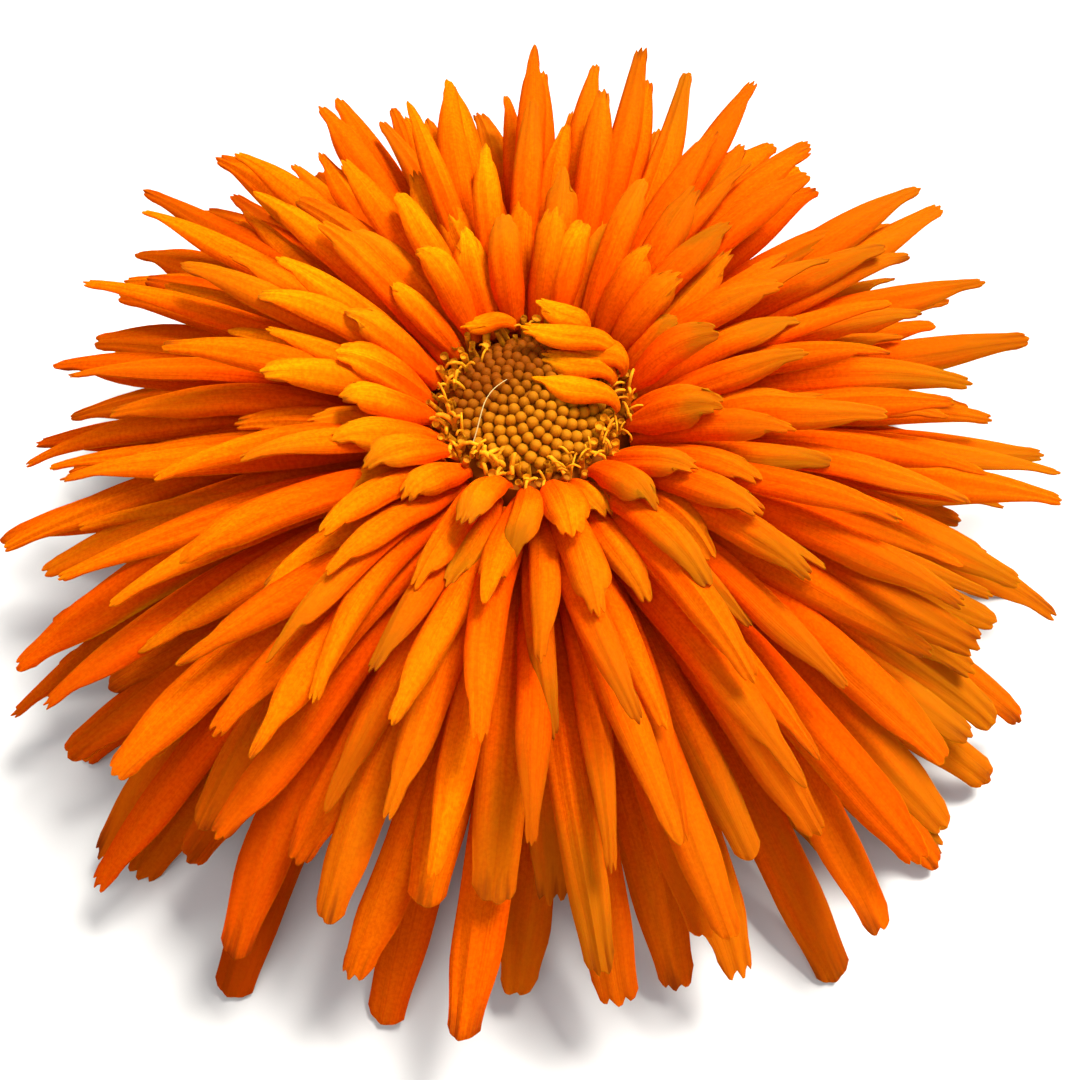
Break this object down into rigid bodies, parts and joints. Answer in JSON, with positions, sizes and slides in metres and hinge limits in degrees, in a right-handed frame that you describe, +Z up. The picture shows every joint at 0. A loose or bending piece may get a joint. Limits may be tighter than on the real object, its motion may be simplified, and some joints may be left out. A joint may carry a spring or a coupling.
{
  "type": "marigold flower",
  "caption": "Picked double marigold head: layered narrow ray petals round a disc of small buds and florets, on a green receptacle with bracts and a short cut stem.",
  "frame": {"origin": "centre of the flower's box in X and Y, on the surface that the flower rests on", "axes": "+Z up along the flower's own axis, -Y the viewer's side, +X to the viewer's right"},
  "size_m": [0.0772, 0.0734, 0.0269],
  "materials": {
    "petal": "satin plant tissue",
    "folded_petal": "satin plant tissue, crumpled",
    "bud": "matte waxy buds",
    "floret": "matte plant tissue",
    "bract": "matte, finely hairy",
    "receptacle": "matte green stem tissue"
  },
  "bodies": {
    "root": {"bracts_1": "bract", "bracts_2": "bract", "disc_of_buds": "bud", "folded_petal_1": "folded_petal", "folded_petal_2": "folded_petal", "folded_petal_3": "folded_petal", "folded_petal_4": "folded_petal", "inner_petals_1": "petal", "inner_petals_2": "petal", "inner_petals_3": "petal", "inner_petals_4": "petal", "level_petals_1": "petal", "level_petals_2": "petal", "level_petals_3": "petal", "level_petals_4": "petal", "level_petals_5": "petal", "level_petals_6": "petal", "level_petals_7": "petal", "level_petals_8": "petal", "level_petals_9": "petal", "low_petals_1": "petal", "low_petals_2": "petal", "low_petals_3": "petal", "low_petals_4": "petal", "low_petals_5": "petal", "low_petals_6": "petal", "low_petals_7": "petal", "low_petals_8": "petal", "low_petals_9": "petal", "opened_florets": "floret", "raised_petals_1": "petal", "raised_petals_2": "petal", "raised_petals_3": "petal", "raised_petals_4": "petal", "raised_petals_5": "petal", "raised_petals_6": "petal", "raised_petals_7": "petal", "raised_petals_8": "petal", "receptacle_and_cut_stem": "receptacle", "short_petals_1": "petal", "short_petals_2": "petal", "short_petals_3": "petal", "short_petals_4": "petal", "short_petals_5": "petal", "short_petals_6": "petal", "skirt_petals_1": "petal", "skirt_petals_2": "petal", "skirt_petals_3": "petal", "skirt_petals_4": "petal", "skirt_petals_5": "petal", "skirt_petals_6": "petal", "skirt_petals_7": "petal", "skirt_petals_8": "petal", "upper_petals_1": "petal", "upper_petals_2": "petal", "upper_petals_3": "petal", "upper_petals_4": "petal", "upper_petals_5": "petal", "upper_petals_6": "petal", "upper_petals_7": "petal"}
  },
  "joints": []
}
